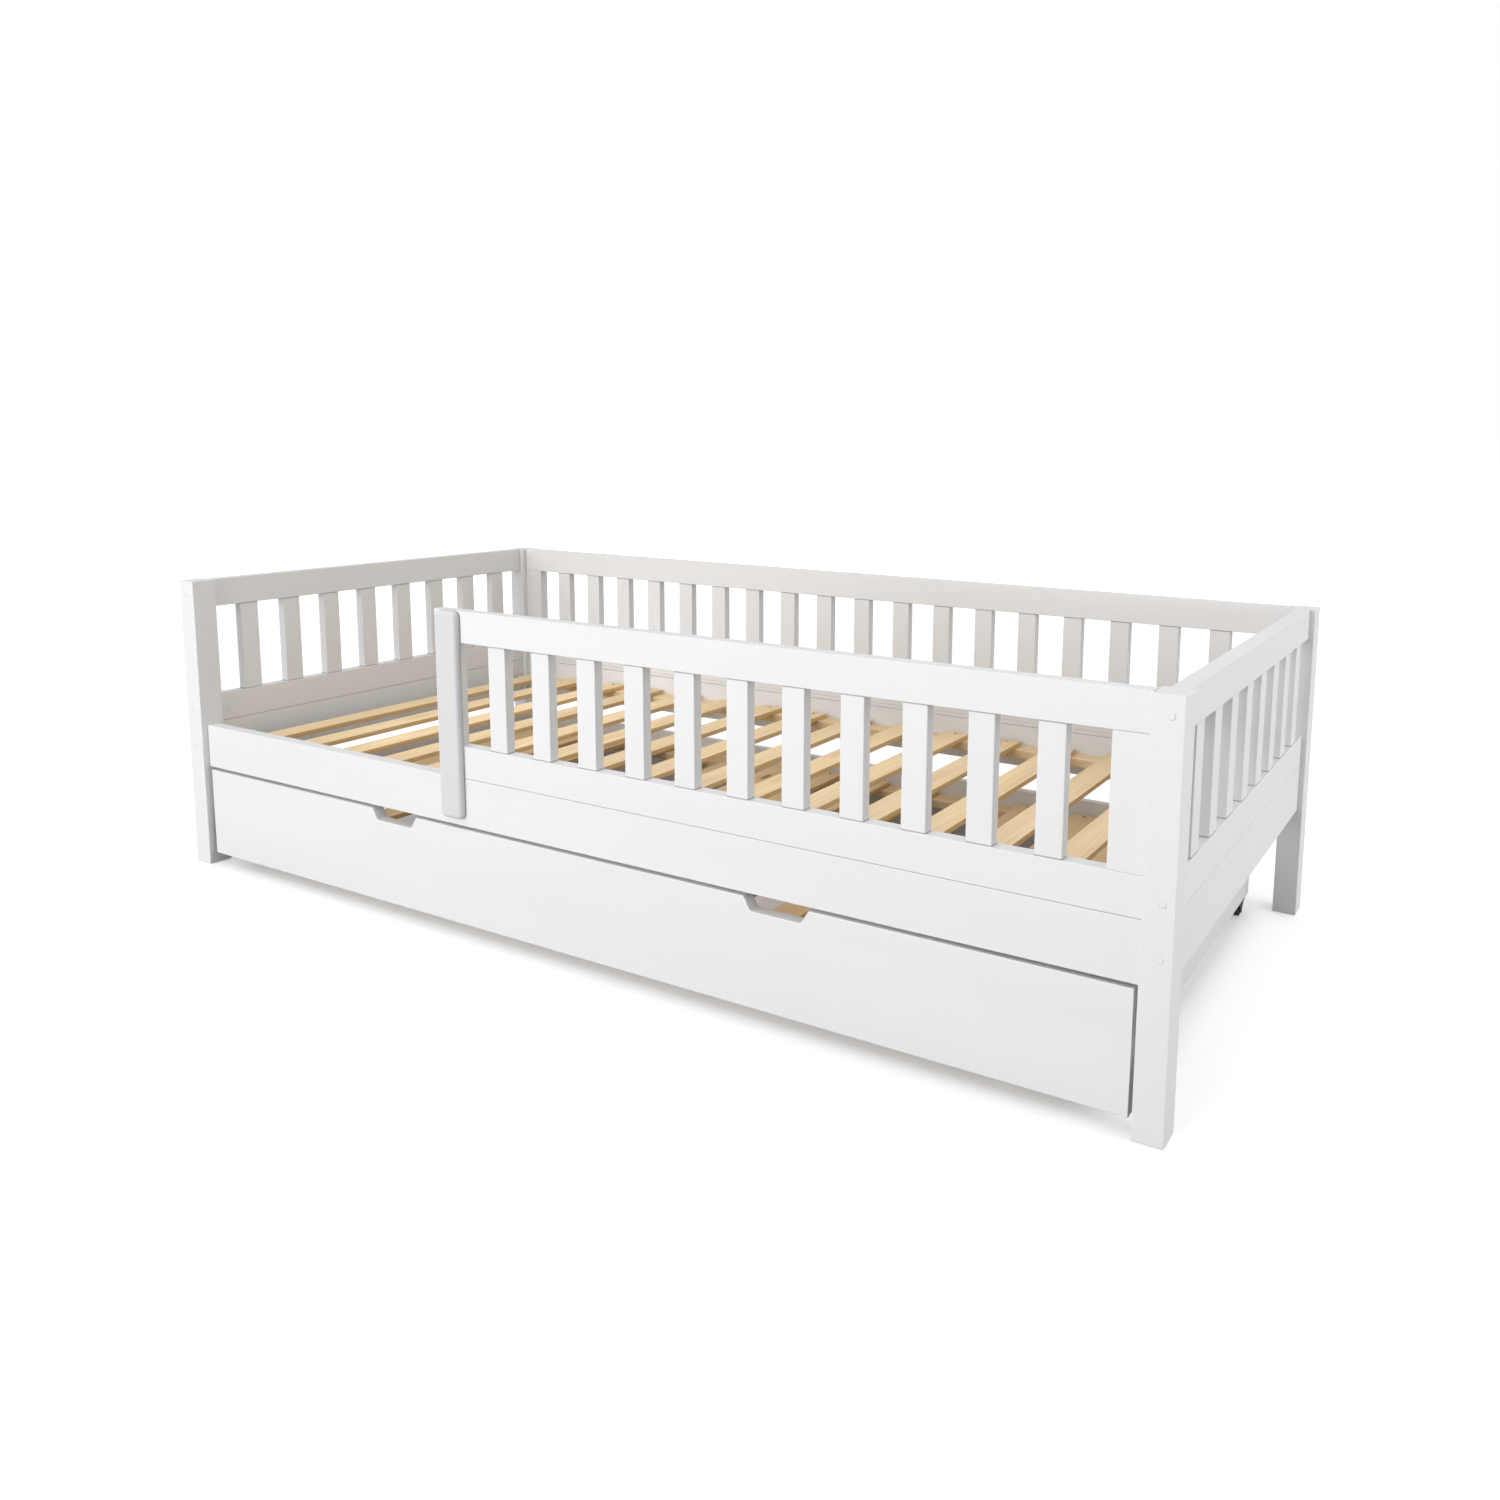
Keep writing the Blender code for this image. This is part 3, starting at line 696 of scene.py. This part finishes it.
SKY_BASE = 0.01
SKY_LOBES = (                          # direction, strength
    ((0, 0, 1), 0.91),
    ((1, 0, 0), 0.14),
    ((0, 1, 0), 0.82),
)
FLOOR_RADIUS = 60.0
FLOOR_BOUNCE = (0.45, 0.45, 0.45)      # the floor's colour for the light that reaches the object
FLOOR_LIFT_CENTRE = (-0.3, -0.5, 0.0)  # the lifts go by distance from here
FLOOR_LIFT_NEAR = 0.13                 # light of the floor's own, so that its shadows stay pale
FLOOR_LIFT_FAR = 0.165                 # the same, farther out
FLOOR_LIFT_HORIZON = 0.45              # added far out, where the floor meets the white sky
LAMPS = (                              # name, place, target, size, watts
    ("key", (-2.5, -4.5, 3.5), (0, 0, 0.3), (3.5, 2.5), 36.0),
    ("low_front", (-1.0, -5.0, 1.2), (0, 0, 0.3), (4.0, 1.6), 176.0),
    ("top_front", (-0.6, -2.2, 4.0), (0, 0, 0.3), (2.5, 2.0), 15.0),
    ("side", (3.2, -0.6, 1.3), (0.9, 0, 0.3), (2.0, 2.0), 9.0),
    ("low_side", (3.0, 0.6, 0.55), (1.0, 0, 0.3), (2.0, 0.8), 21.0),
)


def add_sky(scene):
    """A soft studio dome, brighter towards its lobes, that shows plain white behind the object."""
    world = bpy.data.worlds.new("studio")
    world.use_nodes = True
    tree = world.node_tree
    sky = tree.nodes["Background"]
    direction = node(tree, "ShaderNodeTexCoord").outputs["Generated"]
    level = SKY_BASE
    for axis, strength in SKY_LOBES:
        facing = calc(tree, "MAXIMUM", vector(tree, "DOT_PRODUCT", direction, axis), 0.0)
        level = calc(tree, "MULTIPLY_ADD", facing, strength, level)
    sky.inputs["Color"].default_value = (1.0, 1.0, 1.0, 1.0)
    put(tree, sky.inputs["Strength"], level)
    seen = node(tree, "ShaderNodeBackground", None, Color=(1.0, 1.0, 1.0, 1.0), Strength=1.0)
    mixed = tree.nodes.new("ShaderNodeMixShader")
    put(tree, mixed.inputs[0], node(tree, "ShaderNodeLightPath").outputs["Is Camera Ray"])
    put(tree, mixed.inputs[1], sky.outputs[0])
    put(tree, mixed.inputs[2], seen.outputs[0])
    put(tree, tree.nodes["World Output"].inputs["Surface"], mixed.outputs[0])
    scene.world = world


def add_studio():
    scene = bpy.context.scene
    scene.view_settings.view_transform = "Standard"
    add_sky(scene)
    for lamp in LAMPS:
        area_light(*lamp)
    mesh = bpy.data.meshes.new("floor")
    bm = bmesh.new()
    bmesh.ops.create_circle(bm, cap_ends=True, radius=FLOOR_RADIUS, segments=96)
    bm.to_mesh(mesh)
    bm.free()
    mat, tree, shader = shader_of("floor")
    place = node(tree, "ShaderNodeTexCoord").outputs["Object"]
    color = blend_color(tree, noise(tree, place, 3.0, 2.0), (0.93, 0.93, 0.93), (0.95, 0.95, 0.95))
    seen = node(tree, "ShaderNodeLightPath").outputs["Is Camera Ray"]
    put(tree, shader.inputs["Base Color"], blend_color(tree, seen, FLOOR_BOUNCE, color))
    shader.inputs["Emission Color"].default_value = (1.0, 1.0, 1.0, 1.0)
    distance = vector(tree, "DISTANCE", place, FLOOR_LIFT_CENTRE)
    lift = remap(tree, distance, 0.8, 1.6, FLOOR_LIFT_NEAR, FLOOR_LIFT_FAR, smooth=True)
    horizon = remap(tree, distance, 2.5, 8.0, 0.0, FLOOR_LIFT_HORIZON, smooth=True)
    lift = calc(tree, "ADD", lift, horizon)
    put(tree, shader.inputs["Emission Strength"], calc(tree, "MULTIPLY", seen, lift))
    shader.inputs["Roughness"].default_value = 0.9
    shader.inputs["Specular IOR Level"].default_value = 0.0
    mesh.materials.append(mat)
    floor = bpy.data.objects.new("floor", mesh)
    floor.location.z = CAD_BOX[0][2]
    scene.collection.objects.link(floor)


add_posts()
add_boards()
add_panels()
add_guard_post()
add_trundle()
add_slats()
add_bolt_caps()
add_barrel_nuts()
add_spare_hole_caps()
add_screws()
finish_castors()
add_camera()
add_studio()
